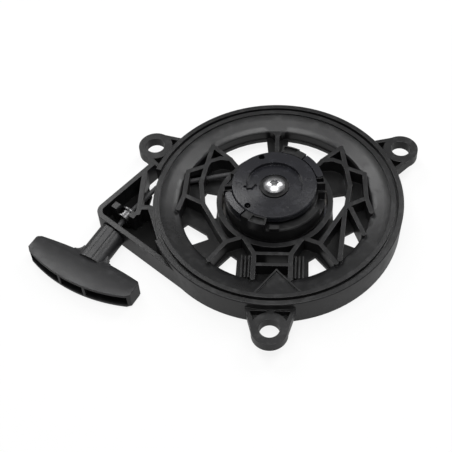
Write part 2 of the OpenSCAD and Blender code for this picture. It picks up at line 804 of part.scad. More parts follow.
module raised_sector() {
    difference() {
        sector(sector_in_r, drum_r, sector_a0, sector_a1, drum_h - 1, sector_h);
        // Pocket for the pawl, open to the outside
        translate([0, 0, drum_h + 0.2]) linear_extrude(10) {
            translate(polar(pawl_pivot_r, pawl_a)) circle(r = pawl_heel_r + pocket_fit, $fn = 48);
            polygon([polar(20, pawl_a), polar(pawl_pivot_r, pawl_a - 5.5), polar(40, pawl_a - 7),
                     polar(40, pawl_a + pawl_span + 2), polar(20, pawl_a + pawl_span + 2)]);
        }
        // Void behind the pawl's heel, inside a thin wall
        sector(sector_in_r - 1, drum_r - 0.8, sector_a0 + 2.4, pawl_a - 6.5, drum_h + 1, 30);
    }
}

// Lug at the sector's end, which stands out and has an open pocket
lug_a0 = 62;
lug_out = 1;
lug_wall = 0.8;

module pulley() {
    color(black) difference() {
        union() {
            rotate_extrude($fn = 180) pulley_profile();
            for (s = [0, 180]) rotate([0, 0, s]) {
                raised_sector();
                sector(drum_r - 1.5, drum_r + lug_out, lug_a0, sector_a1 - 0.6, drum_h - 1, sector_h);
            }
            // Small tab at six o'clock
            sector(drum_r - 3, drum_r + 0.4, -94, -83, drum_h - 1, drum_h + 2.5);
        }
        // Cut-outs in the drum's edge behind each sector
        for (s = [0, 180]) rotate([0, 0, s])
            sector(sector_in_r + 0.6, drum_r + 2, -26, -1, groove_top + 3.5, 30);
        // Open pocket in the top of each lug
        for (s = [0, 180]) rotate([0, 0, s])
            sector(sector_in_r + lug_wall, drum_r + lug_out - lug_wall, lug_a0 + 1.5, sector_a1 - 2.1,
                   sector_h - 1.8, 30);
        // Holes for the pawl pins and the pocket for the rope's knot
        for (s = [0, 180]) rotate([0, 0, s]) translate([pin_xy.x, pin_xy.y, drum_h - pin_seat])
            cylinder(r = pawl_pin_r + 0.02, h = pin_seat + 1, $fn = 48);
        for (s = [0, 180]) rotate([0, 0, s]) translate([pin_xy.x, pin_xy.y, drum_h - coil_pit])
            cylinder(r = coil_r + coil_wire, h = coil_pit + 1, $fn = 48);
        translate([reel_knot_x, 0, groove_mid]) {
            sphere(r = reel_knot_r + 0.1, $fn = 32);
            rotate([0, 90, 0]) cylinder(r = rope_d / 2 + 0.2, h = 8, $fn = 32);
        }
    }
}
pin_xy = polar(pawl_pivot_r, pawl_a);
pin_seat = 4;
// What closes the pawl above its pin
pawl_roof = 1.2;
pin_h = pin_seat + pawl_t - pawl_roof;

// ---- pawls ----

module pawl() {
    z = drum_h + 0.3;
    difference() {
        union() {
            translate([0, 0, z]) linear_extrude(pawl_t) pawl_plan();
            // Finger under the retainer, with its peg
            translate([0, 0, z]) linear_extrude(finger_t)
                bar(polar(pawl_pivot_r, pawl_a + 12), peg_xy, 2.6);
            translate([peg_xy.x, peg_xy.y, z]) cylinder(r = peg_r, h = ret_under + 1.6 - z, $fn = 32);
        }
        translate([pin_xy.x, pin_xy.y, z - 1])
            cylinder(r = pawl_pin_r + run_fit, h = 1 + pawl_t - pawl_roof, $fn = 48);
    }
}
finger_t = 1.9;
peg_r = 1.2;
peg_xy = polar(22.6, pawl_a + 26);

module pawl_1() { color(black_gloss) pawl(); }
module pawl_2() { color(black_gloss) rotate([0, 0, 180]) pawl(); }

module pawl_pin() {
    translate([pin_xy.x, pin_xy.y, drum_h - pin_seat]) difference() {
        cylinder(r = pawl_pin_r, h = pin_h, $fn = 48);
        // Centre mark
        translate([0, 0, pin_h - 0.5]) cylinder(r = pawl_pin_r * 0.6, h = 2, $fn = 32);
    }
}
module pawl_pin_1() { color(steel) pawl_pin(); }
module pawl_pin_2() { color(steel) rotate([0, 0, 180]) pawl_pin(); }

// ---- retainer ----

module retainer() {
    color(black_gloss) difference() {
        rotate_extrude($fn = 180) polygon([
            [bush_r + run_fit, ret_under - ret_hub_t], [ret_hub_r, ret_under - ret_hub_t],
            [ret_hub_r, ret_under], [ret_r, ret_under], [ret_r, ret_h - 0.6],
            [ret_r - 0.6, ret_h], [ret_recess_r, ret_h],
            [ret_recess_r - 0.3, ret_h - ret_recess_d], [ret_cbore_r, ret_h - ret_recess_d],
            [ret_cbore_r, bush_top_z - bush_flange_t - 0.2],
            [bush_r + run_fit, bush_top_z - bush_flange_t - 0.2]
        ]);
        // Shallow round moulding marks
        for (m = [[-23, -1.5], [22, 3], [8.5, -21], [9, 24]])
            translate([m.x, m.y, ret_h - mark_d]) cylinder(r = 2.2, h = 1, $fn = 32);
        // Cam slots for the pegs, cut from below
        for (s = [0, 180]) rotate([0, 0, s]) cam_slot();
        // Two round holes, and the hook slot on the left
        for (h = [[-9.1, 22.9], [-16.5, -18.2]])
            translate([h.x, h.y, ret_under - 1]) cylinder(r = 2.1, h = 8, $fn = 32);
        translate([0, 0, ret_h - ret_recess_d - 1.4]) linear_extrude(10) {
            bar([-19, -2.6], [-14.4, -2.4], 1.6);
            bar([-14.4, -2.4], [-12.4, 0.6], 1.6);
        }
    }
}
bush_top_z = head_z;
mark_d = 0.25;
ret_hub_r = 13;
ret_hub_t = 2.2;

// The slot leads the peg outwards while the retainer lags behind the pulley
guide_turn = 20;
pawl_swing = 20;
function peg_at(swing, lag) =
    let (d = peg_xy - pin_xy,
         q = pin_xy + [d.x * cos(swing) + d.y * sin(swing), -d.x * sin(swing) + d.y * cos(swing)])
    [q.x * cos(lag) - q.y * sin(lag), q.x * sin(lag) + q.y * cos(lag)];
module cam_slot() {
    steps = 6;
    translate([0, 0, ret_under - 3]) linear_extrude(3 + 1.9)
        ribs([for (i = [-0.5 : 1 : steps + 0.5])
              peg_at(pawl_swing * i / steps, guide_turn * i / steps)], 2 * peg_r + 0.7);
}

module retainer_bushing() {
    color(black) difference() {
        union() {
            translate([0, 0, bush_z]) cylinder(r = bush_r, h = bush_top_z - bush_z);
            translate([0, 0, bush_top_z - bush_flange_t])
                cylinder(r = bush_flange_r, h = bush_flange_t);
        }
        translate([0, 0, bush_z - 1]) cylinder(r = shank_r + 0.15, h = 20);
    }
}

screw_depth = 18;
module centre_screw() {
    shank_z = post_h - screw_depth + 1;
    color(steel) difference() {
        union() {
            translate([0, 0, shank_z]) cylinder(r = shank_r, h = head_z - shank_z);
            translate([0, 0, head_z]) rotate_extrude() intersection() {
                translate([0, head_t - dome_r]) circle(r = dome_r, $fn = 120);
                square([head_r, head_t]);
            }
        }
        // Six-lobed drive
        translate([0, 0, head_z + 1.2]) linear_extrude(head_t) {
            circle(r = 2.2, $fn = 48);
            for (i = [0 : 5]) rotate(i * 60) translate([2.1, 0]) circle(r = 0.75, $fn = 24);
        }
    }
}
// The head is a slice of a ball, this much lower at its edge
dome_h = 2.4;
dome_r = (head_r * head_r + dome_h * dome_h) / (2 * dome_h);

// Conical coil that presses the retainer against the bushing's flange
module brake_spring() {
    z0 = groove_top + 2.1 + brake_washer_t;
    z1 = ret_under - ret_hub_t - 0.1;
    wire = 1.2;
    turns = 4;
    foot_r = 14.5;
    top_r = ret_hub_r - wire;
    pts = [for (i = [0 : 12 * turns]) let (t = i / (12 * turns), a = 30 * i, r = mix(foot_r, top_r, t))
        [r * cos(a), r * sin(a),
         z0 + wire / 2 + (z1 - z0 - wire) * t]];
    color(steel) tube(pts, wire / 2, 6);
}
brake_washer_t = 0.8;
module brake_washer() {
    color(steel) translate([0, 0, groove_top + 2]) difference() {
        cylinder(r = spring_pit_r - 0.5, h = brake_washer_t);
        translate([0, 0, -1]) cylinder(r = hub_r + 2.2, h = 3);
    }
}

// Small torsion spring round each pawl pin, under the pawl's heel
coil_wire = 0.4;
coil_r = pawl_pin_r + 0.5;
coil_pit = 1.9;
module pawl_spring() {
    turns = 1.5;
    pts = [for (i = [0 : 12 * turns]) let (t = i / 12)
        [pin_xy.x + coil_r * cos(360 * t), pin_xy.y + coil_r * sin(360 * t),
         drum_h - coil_pit + coil_wire / 2 + 0.1 + 0.9 * t]];
    tube(pts, coil_wire / 2, 6);
}
module pawl_spring_1() { color(steel) pawl_spring(); }
module pawl_spring_2() { color(steel) rotate([0, 0, 180]) pawl_spring(); }

// ---- recoil spring ----

strip_t = 0.5;
spiral_turns = 12;
spiral_in = hub_r + 0.4;
spiral_out = cup_in - 1.5;
spiral_pitch = (spiral_out - spiral_in) / spiral_turns;
spiral_steps = 24 * spiral_turns;
function spiral(i, side) = let (t = i / spiral_steps,
    r = spiral_in + (spiral_out - spiral_in) * t + side * strip_t / 2)
    polar(r, slot_a - 360 * spiral_turns * (1 - t));
echo(recoil_spring_least_gap = spiral_pitch - strip_t);

// Outer end: out through the cup's slot and round the post
hook_gap = 0.3;
hook_off = (lug_w + strip_t) / 2 + hook_gap;
hook = [polar(spiral_out, slot_a), spring_lug + [hook_off, lug_w],
        spring_lug + [hook_off, -hook_off], spring_lug + [-hook_off, -hook_off],
        spring_lug + [-hook_off, lug_w / 2]];

module recoil_spring() {
    color(steel) translate([0, 0, spring_z]) linear_extrude(spring_h) {
        polygon(concat([for (i = [0 : spiral_steps]) spiral(i, -1)],
                       [for (i = [spiral_steps : -1 : 0]) spiral(i, 1)]));
        ribs(hook, strip_t);
    }
}

// Thin steel disc that keeps the spring down in the cup
module spring_cover() {
    color(steel) translate([0, 0, cover_z]) difference() {
        cylinder(r = cup_in - 0.05, h = cover_t);
        translate([0, 0, -1]) cylinder(r = hub_r + 0.5, h = 3);
    }
}

housing();
rope_eyelet();
pulley();
recoil_spring();
rope_winding();
rope_run();
reel_knot();
handle_knot();
handle_grip();
handle_washer();
pawl_1();
pawl_2();
pawl_pin_1();
pawl_pin_2();
pawl_spring_1();
pawl_spring_2();
retainer();
brake_spring();
brake_washer();
retainer_bushing();
centre_screw();
spring_cover();
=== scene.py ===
"""Finishes, rope and studio for a recoil starter, laid out as an add-on."""

import math

import bpy
import numpy as np
from bpy.props import FloatProperty, FloatVectorProperty, IntProperty, PointerProperty
from mathutils import Matrix, Vector


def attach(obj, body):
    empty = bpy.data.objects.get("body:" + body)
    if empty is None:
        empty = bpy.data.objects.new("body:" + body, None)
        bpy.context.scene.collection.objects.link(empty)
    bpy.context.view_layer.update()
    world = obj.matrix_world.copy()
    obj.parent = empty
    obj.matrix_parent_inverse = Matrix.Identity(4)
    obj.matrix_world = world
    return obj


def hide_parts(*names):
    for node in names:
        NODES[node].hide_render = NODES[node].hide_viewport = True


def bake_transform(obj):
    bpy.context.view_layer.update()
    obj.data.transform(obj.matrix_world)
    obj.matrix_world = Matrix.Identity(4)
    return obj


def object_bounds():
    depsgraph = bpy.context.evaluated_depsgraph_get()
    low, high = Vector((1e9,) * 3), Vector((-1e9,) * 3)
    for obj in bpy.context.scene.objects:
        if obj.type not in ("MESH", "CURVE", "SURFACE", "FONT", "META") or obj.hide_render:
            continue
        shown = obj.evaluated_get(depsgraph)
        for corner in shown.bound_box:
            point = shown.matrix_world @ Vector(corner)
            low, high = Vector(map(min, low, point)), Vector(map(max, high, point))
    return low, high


bl_info = {
    "name": "Recoil starter finishes",
    "version": (1, 0, 0),
    "blender": (4, 5, 0),
    "location": "View3D > Sidebar > Starter",
    "description": "Moulded plastics, bright steel, braided rope and a plain studio",
    "category": "Object",
}

MM = 0.001
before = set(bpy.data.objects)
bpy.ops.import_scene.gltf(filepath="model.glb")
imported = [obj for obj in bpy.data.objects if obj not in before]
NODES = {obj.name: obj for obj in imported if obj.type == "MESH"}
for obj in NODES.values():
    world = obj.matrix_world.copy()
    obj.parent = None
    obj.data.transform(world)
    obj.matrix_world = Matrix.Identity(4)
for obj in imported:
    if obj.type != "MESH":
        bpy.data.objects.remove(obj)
CAD_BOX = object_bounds()

# Sizes and places from the part's own source, in its millimetres and degrees
RIM_TOP = 5.2
ROPE_D = 3.5
PULL_AZ = -117.0
# The rope leaves the reel at the tangent, turns at the guide and passes the eyelet
TANGENT = np.array([-5.419, 30.066, -0.6])
GUIDE = np.array([-80.521, 16.529, -5.841])
EYELET = np.array([-99.523, -8.526, -8.0])
# Radius of the bend at the guide, and half the angle that the rope turns by
BEND_R = 6.0
BEND_HALF = 21.36
# The outer turns on the reel: rope diameter, radius, drop for a turn
WIND_D = 3.1
WIND_R = 30.55
WIND_PITCH = 3.6
# The reel's core and the heights between which the rope fills its groove
CORE_R = 16.0
GROOVE_LOW, GROOVE_HIGH = -6.0, 1.0
# The handle's knot, that far from the eyelet along the pull, and the reel's
KNOT_X = 51.5
KNOT_R = 3.4
REEL_KNOT = np.array([CORE_R - 3.3, 0, -2.5])
REEL_KNOT_R = 2.2
# What keeps one piece of the rope clear of the next
ROPE_GAP = 0.15

# The photograph's camera: how far it looks down, its roll and its turn, in degrees,
# and its place in millimetres
CAMERA_ELEVATION = 52.526
CAMERA_ROLL = -4.683
CAMERA_TURN = 7.24
CAMERA_EYE = (20.8, -428.9, 531.9 + RIM_TOP)

# Lights: name, place, width and height in metres, and the setting of their power
LIGHTS = (("Overhead", (0.0, -0.1, 1.0), (0.8, 0.5), "key_power"),
          ("Left", (-0.46, 0.52, 0.75), (0.3, 0.5), "side_power"),
          ("Right", (0.46, 0.48, 0.75), (0.3, 0.5), "side_power"))
# Half the floor's width in metres, and its gap under the part in millimetres
FLOOR_HALF = 30.0
FLOOR_GAP = 0.05


# ---- meshes ----

def polar(radius, degrees):
    """A point on a circle round the origin."""
    a = math.radians(degrees)
    return np.array([radius * math.cos(a), radius * math.sin(a)])


def unit(v):
    """v at length one."""
    return v / np.linalg.norm(v)


def new_piece(name, vertices, faces):
    """A smooth mesh object from arrays of vertices in millimetres and of faces."""
    mesh = bpy.data.meshes.new(name)
    mesh.from_pydata((np.asarray(vertices, float) * MM).tolist(), [], [list(f) for f in faces])
    mesh.validate()
    mesh.update()
    mesh.polygons.foreach_set("use_smooth", np.full(len(mesh.polygons), True))
    piece = bpy.data.objects.new(name, mesh)
    bpy.context.scene.collection.objects.link(piece)
    return piece


def grid_faces(rows, columns, wrap_rows=False):
    """Quads of a grid whose columns close on themselves, and its rows too if asked."""
    last = rows if wrap_rows else rows - 1
    i, j = np.meshgrid(np.arange(last), np.arange(columns), indexing="ij")
    a = i * columns + j
    b = i * columns + (j + 1) % columns
    c = ((i + 1) % rows) * columns + (j + 1) % columns
    d = ((i + 1) % rows) * columns + j
    return np.stack([a, b, c, d], -1).reshape(-1, 4)


def resampled(points, step):
    """Points a fixed step apart along a smooth curve, and how far along it each lies.

    The curve passes through the points given. It is a Catmull-Rom spline:
    between two points each coordinate is a cubic whose slope at a point is half
    the difference of its neighbours.
    """
    per_span = 24
    p = np.asarray(points, float)
    p = np.vstack([2 * p[0] - p[1], p, 2 * p[-1] - p[-2]])
    t = np.linspace(0, 1, per_span, endpoint=False)[:, None]
    dense = []
    for i in range(1, len(p) - 2):
        a, b, c, d = p[i - 1], p[i], p[i + 1], p[i + 2]
        dense.append(0.5 * (2 * b + (c - a) * t + (2 * a - 5 * b + 4 * c - d) * t ** 2
                            + (3 * b - a - 3 * c + d) * t ** 3))
    dense = np.vstack(dense + [p[-2][None]])
    run = np.concatenate([[0], np.cumsum(np.linalg.norm(np.diff(dense, axis=0), axis=1))])
    count = max(int(round(run[-1] / step)), 2) + 1
    at = np.linspace(0, run[-1], count)
    return np.stack([np.interp(at, run, dense[:, k]) for k in range(3)], -1), at


def turned_to(tangent, towards):
    """Unit directions square to a path's tangents: a side, and a lift that leans towards."""
    side = np.cross(towards, tangent)
    side /= np.linalg.norm(side, axis=1)[:, None]
    return side, np.cross(tangent, side)


def rings(path, radius, side, lift, angle):
    """Rings round a path: each point is path + radius * (cos a * side + sin a * lift)."""
    spoke = (np.cos(angle)[..., None] * side[:, None, :]
             + np.sin(angle)[..., None] * lift[:, None, :])
    return (path[:, None, :] + radius[..., None] * spoke).reshape(-1, 3)


def braided_cord(name, points, diameter, sides, step):
    """A braided cord along points that never run upright, as a mesh of rings.

    The radius at angle a and length s is that of the taller of two crossing
    sets of strands. Each set is a ridge, the size of a cosine of its own helix
    angle, and a slower wave along both lifts the one on top.
    """
    strands, lay = 6, 2.6
    valley, over, under = 0.86, 0.55, 0.45
    path, s = resampled(points, step)
    tangent = np.gradient(path, axis=0)
    tangent /= np.linalg.norm(tangent, axis=1)[:, None]
    side, lift = turned_to(tangent, np.array([0.0, 0.0, 1.0]))
    angle = np.linspace(0, 2 * math.pi, sides, endpoint=False)[None, :]
    s = s[:, None]
    twist = 2 * math.pi / (diameter * lay)
    first = np.abs(np.cos(strands / 2 * (angle + twist * s)))
    second = np.abs(np.cos(strands / 2 * (angle - twist * s)))
    weave = 0.5 + 0.5 * np.sin(strands * angle) * np.cos(strands * twist * s)
    height = np.maximum(first * (over + under * weave), second * (1 - under * weave))
    radius = diameter / 2 * (valley + (1 - valley) * height)
    vertices = np.vstack([rings(path, radius, side, lift, angle), path[0], path[-1]])
    rows = len(path)
    first_cap, last_cap, last_row = rows * sides, rows * sides + 1, (rows - 1) * sides
    edges = [(k, (k + 1) % sides) for k in range(sides)]
    faces = [*grid_faces(rows, sides),
             *[(first_cap, b, a) for a, b in edges],
             *[(last_cap, last_row + a, last_row + b) for a, b in edges]]
    return new_piece(name, vertices, faces)


# ---- shader maths ----

class Value:
    """A node socket that adds Math nodes when it is used in an expression."""

    def __init__(self, tree, socket):
        self.tree = tree
        self.socket = socket

    def maths(self, operation, other=0.0, swap=False, clamp=False):
        """A Math node of this value and another, or of the other and this one."""
        node = self.tree.nodes.new("ShaderNodeMath")
        node.operation = operation
        node.use_clamp = clamp
        inputs = (other, self) if swap else (self, other)
        for slot, value in zip(node.inputs, inputs):
            if isinstance(value, Value):
                self.tree.links.new(value.socket, slot)
            else:
                slot.default_value = value
        return Value(self.tree, node.outputs[0])

    def __add__(self, other):
        return self.maths("ADD", other)

    def __sub__(self, other):
        return self.maths("SUBTRACT", other)

    def __rsub__(self, other):
        return self.maths("SUBTRACT", other, swap=True)

    def __mul__(self, other):
        return self.maths("MULTIPLY", other)

    def __pow__(self, other):
        return self.maths("POWER", other)

    def clamped(self):
        """The value kept between 0 and 1."""
        return self.maths("ADD", clamp=True)

    def above(self, low, high):
        """0 below low and 1 above high, with a straight ramp between them."""
        return ((self - low) * (1.0 / (high - low))).clamped()


class Finish:
    """A material in the making: its node tree, its shader and short ways to add nodes."""

    def __init__(self, name):
        self.material = bpy.data.materials.new(name)
        self.material.use_nodes = True
        self.tree = self.material.node_tree
        self.tree.nodes.clear()
        self.output = self.node("ShaderNodeOutputMaterial")
        self.shader = self.node("ShaderNodeBsdfPrincipled")
        self.surface(self.shader.outputs["BSDF"])
        self.place = self.node("ShaderNodeTexCoord").outputs["Object"]

    def node(self, kind, settings=None, **sockets):
        """A node with its settings made first, then its sockets' values or links."""
        node = self.tree.nodes.new(kind)
        for key, value in (settings or {}).items():
            setattr(node, key, value)
        for key, value in sockets.items():
            self.feed(node.inputs[key.replace("_", " ")], value)
        return node

    def feed(self, socket, value):
        """Links or sets one socket."""
        if isinstance(value, Value):
            value = value.socket
        if isinstance(value, bpy.types.NodeSocket):
            self.tree.links.new(value, socket)
        else:
            socket.default_value = value

    def set(self, **sockets):
        """Values or links for the shader itself."""
        for key, value in sockets.items():
            self.feed(self.shader.inputs[key.replace("_", " ")], value)

    def surface(self, shader):
        """Makes a shader's output the material's surface."""
        self.feed(self.output.inputs["Surface"], shader)

    def mix_surface(self, factor, first, second):
        """Makes the surface a mix: all of the first shader where the factor is 0."""
        mix = self.node("ShaderNodeMixShader")
        for socket, value in zip(mix.inputs, (factor, first, second)):
            self.feed(socket, value)
        self.surface(mix.outputs["Shader"])

    def noise(self, per_mm, detail=3.0, roughness=0.55, stretch=(1, 1, 1)):
        """Cloudy noise with that many blobs to the millimetre."""
        mapping = self.node("ShaderNodeMapping", Vector=self.place, Scale=stretch)
        node = self.node("ShaderNodeTexNoise", Vector=mapping.outputs["Vector"],
                         Scale=per_mm / MM, Detail=detail, Roughness=roughness)
        return Value(self.tree, node.outputs["Fac"])

    def cells(self, per_mm):
        """Distance to the nearest of scattered points, that many to the millimetre."""
        node = self.node("ShaderNodeTexVoronoi", {"feature": "F1"}, Vector=self.place,
                         Scale=per_mm / MM)
        return Value(self.tree, node.outputs["Distance"])

    def upward(self, vector):
        """The upright coordinate of a vector."""
        split = self.node("ShaderNodeSeparateXYZ", Vector=vector)
        return Value(self.tree, split.outputs["Z"])

    def radius(self):
        """Distance from the reel's axis, in metres."""
        split = self.node("ShaderNodeSeparateXYZ", Vector=self.place)
        x, y = (Value(self.tree, split.outputs[axis]) for axis in "XY")
        return (x * x + y * y) ** 0.5

    def mixed(self, factor, first, second):
        """A colour between two, by a factor that varies over the surface."""
        node = self.node("ShaderNodeMix", {"data_type": "RGBA"})
        self.feed(node.inputs[0], factor)
        self.feed(node.inputs[6], (*first, 1.0))
        self.feed(node.inputs[7], (*second, 1.0))
        return node.outputs[2]

    def rounded(self, radius_mm):
        """Normals as if every edge were rounded by that radius."""
        node = self.node("ShaderNodeBevel", {"samples": 6}, Radius=radius_mm * MM)
        return node.outputs["Normal"]

    def bumped(self, height, depth_mm, normal=None):
        """The shader's normal, raised by a height from 0 to 1 over that depth."""
        node = self.node("ShaderNodeBump", Height=height, Strength=1.0, Distance=depth_mm * MM)
        if normal is not None:
            self.feed(node.inputs["Normal"], normal)
        self.set(Normal=node.outputs["Normal"])


# ---- finishes ----

def moulded_plastic(name, colour, rough, dust, grain_mm, edge_mm, cone=0.0, painted_shade_heights=None, worn=1.0):
    """Black moulded plastic: flow clouds, fine grain, rubbed places and a trace of dust.

    The cone is the slope by which a round piece's face seems to fall outwards:
    it adds a height of minus the slope times the radius. On level faces below
    the first of the two heights given for the painted shade, in millimetres, a
    darker, duller shader is mixed in as painted shade on the recess floors, and
    it fades out up to the second. Worn says how much the clouds and the rubbed
    places show in the gloss and the relief.
    """
    paler, relief_mm = 1.9, 0.035
    cloud_share, rub_share, grain_share, mean_wear = 0.22, 0.16, 0.08, 0.16
    finish = Finish(name)
    clouds = finish.noise(per_mm=0.02, detail=4.0)
    rub = finish.noise(per_mm=0.16, detail=6.0, roughness=0.7).above(0.5, 0.75)
    grain = finish.noise(per_mm=1.0 / grain_mm, detail=2.0)
    pale = tuple(min(c * paler + dust, 1.0) for c in colour)
    finish.set(
        Base_Color=finish.mixed((clouds * 0.5 + rub * 0.5).above(0.3, 0.8), colour, pale),
        Roughness=((clouds * cloud_share + rub * rub_share) * worn + grain * grain_share
                   + (rough - grain_share / 2 - mean_wear * worn)).clamped(),
        Specular_IOR_Level=0.5)
    height = grain * 0.6 + rub * (0.4 * worn)
    if cone:
        height = height + finish.radius() * (-cone / (relief_mm * MM))
    finish.bumped(height, relief_mm, finish.rounded(edge_mm))
    # Painted shade: upward-facing faces low in the part, the floors of its recesses, get a darker,
    # duller shader in place of the lit plastic
    if painted_shade_heights:
        dull = finish.node("ShaderNodeBsdfPrincipled", Base_Color=(0.004, 0.004, 0.004, 1.0),
                           Roughness=(grain * 0.2 + 0.5).clamped(), Specular_IOR_Level=0.12)
        high = finish.upward(finish.place).above(painted_shade_heights[0] * MM, painted_shade_heights[1] * MM)
        facing = finish.node("ShaderNodeTexCoord").outputs["Normal"]
        level = finish.upward(facing).above(0.3, 0.7)
        outside_painted_shade = (high + (1 - level) + (clouds - 0.5) * 0.3).clamped()
        finish.mix_surface(outside_painted_shade, dull.outputs["BSDF"], finish.shader.outputs["BSDF"])
    return finish.material


def bright_steel(name, colour, rough):
    """Zinc-plated steel: cloudy passivation, fine turning scratches and small pits."""
    duller, cloud_share, scratch_share, mean_wear = 0.72, 0.18, 0.16, 0.12
    finish = Finish(name)
    clouds = finish.noise(per_mm=0.25)
    scratches = finish.noise(per_mm=1.0 / 0.3, roughness=0.6, stretch=(1, 1, 0.2))
    pits = 1 - finish.cells(per_mm=1.2).above(0.02, 0.12)
    dull = tuple(c * duller for c in colour)
    finish.set(Base_Color=finish.mixed(clouds.above(0.35, 0.75), colour, dull), Metallic=1.0,
               Roughness=(clouds * cloud_share + scratches * scratch_share
                          + (rough - mean_wear)).clamped())
    finish.bumped(scratches * 0.7 - pits * 0.5, 0.02, finish.rounded(0.25))
    return finish.material


def spring_steel(name):
    """Oiled strip steel: dark, with blue and straw tints and lines along the strip."""
    blue, straw = (0.24, 0.25, 0.29), (0.36, 0.33, 0.28)
    finish = Finish(name)
    tint = finish.noise(per_mm=0.08)
    lines = finish.noise(per_mm=2.0, detail=2.0, roughness=0.5, stretch=(0.2, 0.2, 3))
    finish.set(Base_Color=finish.mixed(tint.above(0.35, 0.7), blue, straw), Metallic=1.0,
               Roughness=(lines * 0.2 + tint * 0.15 + 0.15).clamped())
    finish.bumped(lines, 0.01)
    return finish.material


def cord_fibre(name):
    """Black braided polyester: fine fibres across the strands and a soft sheen."""
    black, faded = (0.010, 0.010, 0.011), (0.055, 0.055, 0.058)
    finish = Finish(name)
    fibres = finish.noise(per_mm=5.0, roughness=0.6)
    fade = finish.noise(per_mm=0.12)
    finish.set(Base_Color=finish.mixed((fibres * 0.6 + fade * 0.6).above(0.35, 0.9), black, faded),
               Roughness=(fibres * 0.3 + 0.45).clamped(), Sheen_Weight=0.25, Sheen_Roughness=0.4)
    finish.bumped(fibres, 0.08)
    return finish.material


def pale_surface(name):
    """A floor that is white to the camera, pale in reflections, and keeps a faint shadow."""
    glow_share, mirrored = 0.86, 0.4
    finish = Finish(name)
    speck = finish.noise(per_mm=0.05, detail=2.0)
    finish.set(Base_Color=finish.mixed(speck, (0.93, 0.93, 0.93), (0.96, 0.96, 0.96)),
               Roughness=0.9, Specular_IOR_Level=0.0)
    seen = finish.node("ShaderNodeLightPath")
    glossy = Value(finish.tree, seen.outputs["Is Glossy Ray"])
    glow = finish.node("ShaderNodeEmission", Strength=1.0, Color=finish.mixed(
        glossy, (1.0, 1.0, 1.0), (mirrored, mirrored, mirrored)))
    share = (Value(finish.tree, seen.outputs["Is Camera Ray"]) + glossy).clamped() * glow_share
    finish.mix_surface(share, finish.shader.outputs["BSDF"], glow.outputs["Emission"])
    return finish.material


# ---- settings ----

class StarterPlastic(bpy.types.PropertyGroup):
    """Colours and gloss of the moulded plastics."""
    housing_colour: FloatVectorProperty(
        name="Housing colour", description="Colour of the moulded housing and the pulley",
        default=(0.009, 0.009, 0.0095), subtype="COLOR", min=0, max=1)
    retainer_colour: FloatVectorProperty(
        name="Retainer colour", description="Colour of the retainer and the pawls",
        default=(0.013, 0.0132, 0.0165), subtype="COLOR", min=0, max=1)
    grip_colour: FloatVectorProperty(
        name="Grip colour", description="Colour of the pull handle",
        default=(0.012, 0.012, 0.013), subtype="COLOR", min=0, max=1)
    housing_roughness: FloatProperty(
        name="Housing roughness", description="Mean roughness of the housing and the pulley",
        default=0.36, min=0, max=1, subtype="FACTOR")
    retainer_roughness: FloatProperty(
        name="Retainer roughness", description="Mean roughness of the retainer and the pawls",
        default=0.24, min=0, max=1, subtype="FACTOR")
    grip_roughness: FloatProperty(
        name="Grip roughness", description="Mean roughness of the handle",
        default=0.44, min=0, max=1, subtype="FACTOR")
    edge_radius: FloatProperty(
        name="Edge radius", description="Radius that the moulded edges seem to have, in mm",
        default=0.45, min=0.05, max=1.5)


class StarterMetal(bpy.types.PropertyGroup):
    """Colour and gloss of the plated pieces."""
    # The eyelet's darker colour is painted shade for its place deep in the arm
    steel_colour: FloatVectorProperty(
        name="Steel colour", description="Colour of the plated pieces; the eyelet is darker",
        default=(0.5, 0.5, 0.51), subtype="COLOR", min=0, max=1)
    steel_roughness: FloatProperty(
        name="Steel roughness", description="Mean roughness of the plating",
        default=0.24, min=0, max=1, subtype="FACTOR")


class StarterRope(bpy.types.PropertyGroup):
    """The pull rope."""
    diameter: FloatProperty(
        name="Rope diameter", description="Diameter of the rope, in millimetres",
        default=ROPE_D, min=2, max=4)
    ring_step: FloatProperty(
        name="Ring step", description="Distance between the rope mesh's rings, in millimetres",
        default=0.28, min=0.1, max=1)
    sides: IntProperty(
        name="Sides", description="Points round the rope mesh", default=32, min=12, max=64)


class StarterStudio(bpy.types.PropertyGroup):
    """Light and camera."""
    lens: FloatProperty(
        name="Lens", description="Focal length of the camera, in millimetres",
        default=82.55, min=20, max=200)
    key_power: FloatProperty(
        name="Overhead light", description="Power of the large light above, in watts",
        default=6.0, min=0, max=100)
    side_power: FloatProperty(
        name="Side lights", description="Power of each side light, in watts",
        default=3.0, min=0, max=100)
    surround: FloatProperty(
        name="Surround", description="Strength of the pale surround", default=0.26, min=0, max=2)


# ---- stage ----

def place_camera(lens):
    """The camera at the photograph's viewing angle, in the part's own frame."""
    elevation, roll = math.radians(CAMERA_ELEVATION), math.radians(CAMERA_ROLL)
    right = Vector((1, 0, 0))
    up = Vector((0, math.sin(elevation), math.cos(elevation)))
    ahead = Vector((0, math.cos(elevation), -math.sin(elevation)))
    x_axis = math.cos(roll) * right + math.sin(roll) * up
    y_axis = -math.sin(roll) * right + math.cos(roll) * up
    spin = Matrix.Rotation(math.radians(CAMERA_TURN), 3, "Z")
    axes = Matrix((spin @ x_axis, spin @ y_axis, spin @ -ahead)).transposed()
    data = bpy.data.cameras.new("Camera")
    data.sensor_width = 36.0
    data.lens = lens
    data.clip_start, data.clip_end = 0.01, 20.0
    camera = bpy.data.objects.new("Camera", data)
    bpy.context.scene.collection.objects.link(camera)
    camera.matrix_world = Matrix.Translation(Vector(CAMERA_EYE) * MM) @ axes.to_4x4()
    bpy.context.scene.camera = camera


def soft_light(name, place, size, power):
    """A rectangular area light that looks at the origin."""
    data = bpy.data.lights.new(name, "AREA")
    data.shape = "RECTANGLE"
    data.size, data.size_y = size
    data.energy = power
    light = bpy.data.objects.new(name, data)
    light.location = place
    light.rotation_euler = (Vector() - Vector(place)).to_track_quat("-Z", "Y").to_euler()
    bpy.context.scene.collection.objects.link(light)


